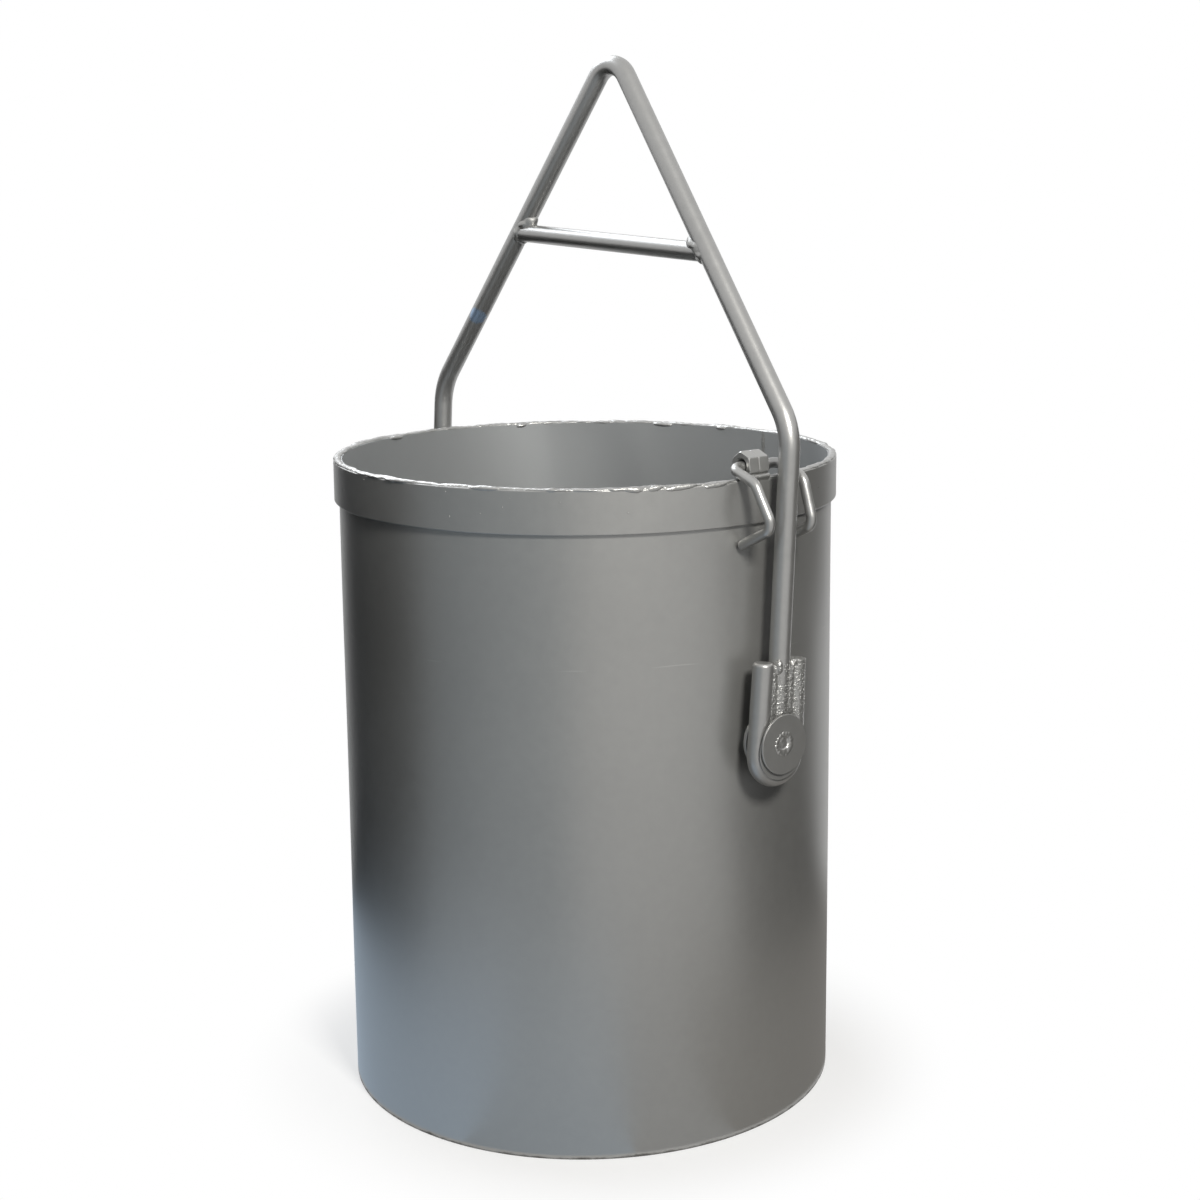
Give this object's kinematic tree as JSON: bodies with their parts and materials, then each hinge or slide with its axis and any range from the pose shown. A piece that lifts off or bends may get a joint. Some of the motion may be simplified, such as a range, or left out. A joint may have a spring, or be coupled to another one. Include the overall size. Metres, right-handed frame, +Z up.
{
  "type": "hoist bucket",
  "caption": "Round welded steel hoist bucket with a rim band, a swinging triangular bail on side trunnions and a flip-over wire latch that locks the bail upright.",
  "frame": {"origin": "middle of the foot, on the surface that the bucket stands on", "axes": "+Z up, +X along the trunnion axis towards the side with the latch, +Y the way the bail leans at rest"},
  "size_m": [0.4693, 0.408, 0.8359],
  "materials": {
    "pail_paint": "semi-gloss silver-grey paint",
    "bail_paint": "semi-gloss silver-grey paint",
    "latch_paint": "semi-gloss silver-grey paint",
    "weld_paint": "silver-grey paint over rough weld"
  },
  "bodies": {
    "pail": {"shell": "pail_paint", "shell_seam_weld": "weld_paint", "base_plate": "pail_paint", "base_weld": "weld_paint", "rim_band": "pail_paint", "rim_weld": "weld_paint", "right_trunnion_pin": "pail_paint", "left_trunnion_pin": "pail_paint", "right_trunnion_boss": "pail_paint", "left_trunnion_boss": "pail_paint", "right_boss_weld": "weld_paint", "left_boss_weld": "weld_paint", "right_pin_weld": "weld_paint", "left_pin_weld": "weld_paint", "right_inner_washer": "pail_paint", "left_inner_washer": "pail_paint", "right_outer_washer": "pail_paint", "left_outer_washer": "pail_paint", "right_retaining_disc": "pail_paint", "left_retaining_disc": "pail_paint", "right_plug_weld": "weld_paint", "left_plug_weld": "weld_paint", "latch_nut_near": "latch_paint", "latch_nut_far": "latch_paint", "latch_nut_weld": "weld_paint"},
    "bail": {"bail_rod": "bail_paint", "crossbar": "bail_paint", "right_crossbar_weld": "weld_paint", "left_crossbar_weld": "weld_paint", "right_stirrup": "bail_paint", "left_stirrup": "bail_paint", "right_stirrup_weld": "weld_paint", "left_stirrup_weld": "weld_paint"},
    "latch": {"latch_wire": "latch_paint"}
  },
  "joints": [
    {"name": "bail_swing", "type": "hinge", "parent": "pail", "child": "bail", "pos_m": [0, 0, 0.321], "axis": [1, 0, 0], "range_deg": [-121, 128]},
    {"name": "latch_flip", "type": "hinge", "parent": "pail", "child": "latch", "pos_m": [0.19427, 0, 0.52839], "axis": [0, -1, 0], "range_deg": [0, 267]}
  ]
}
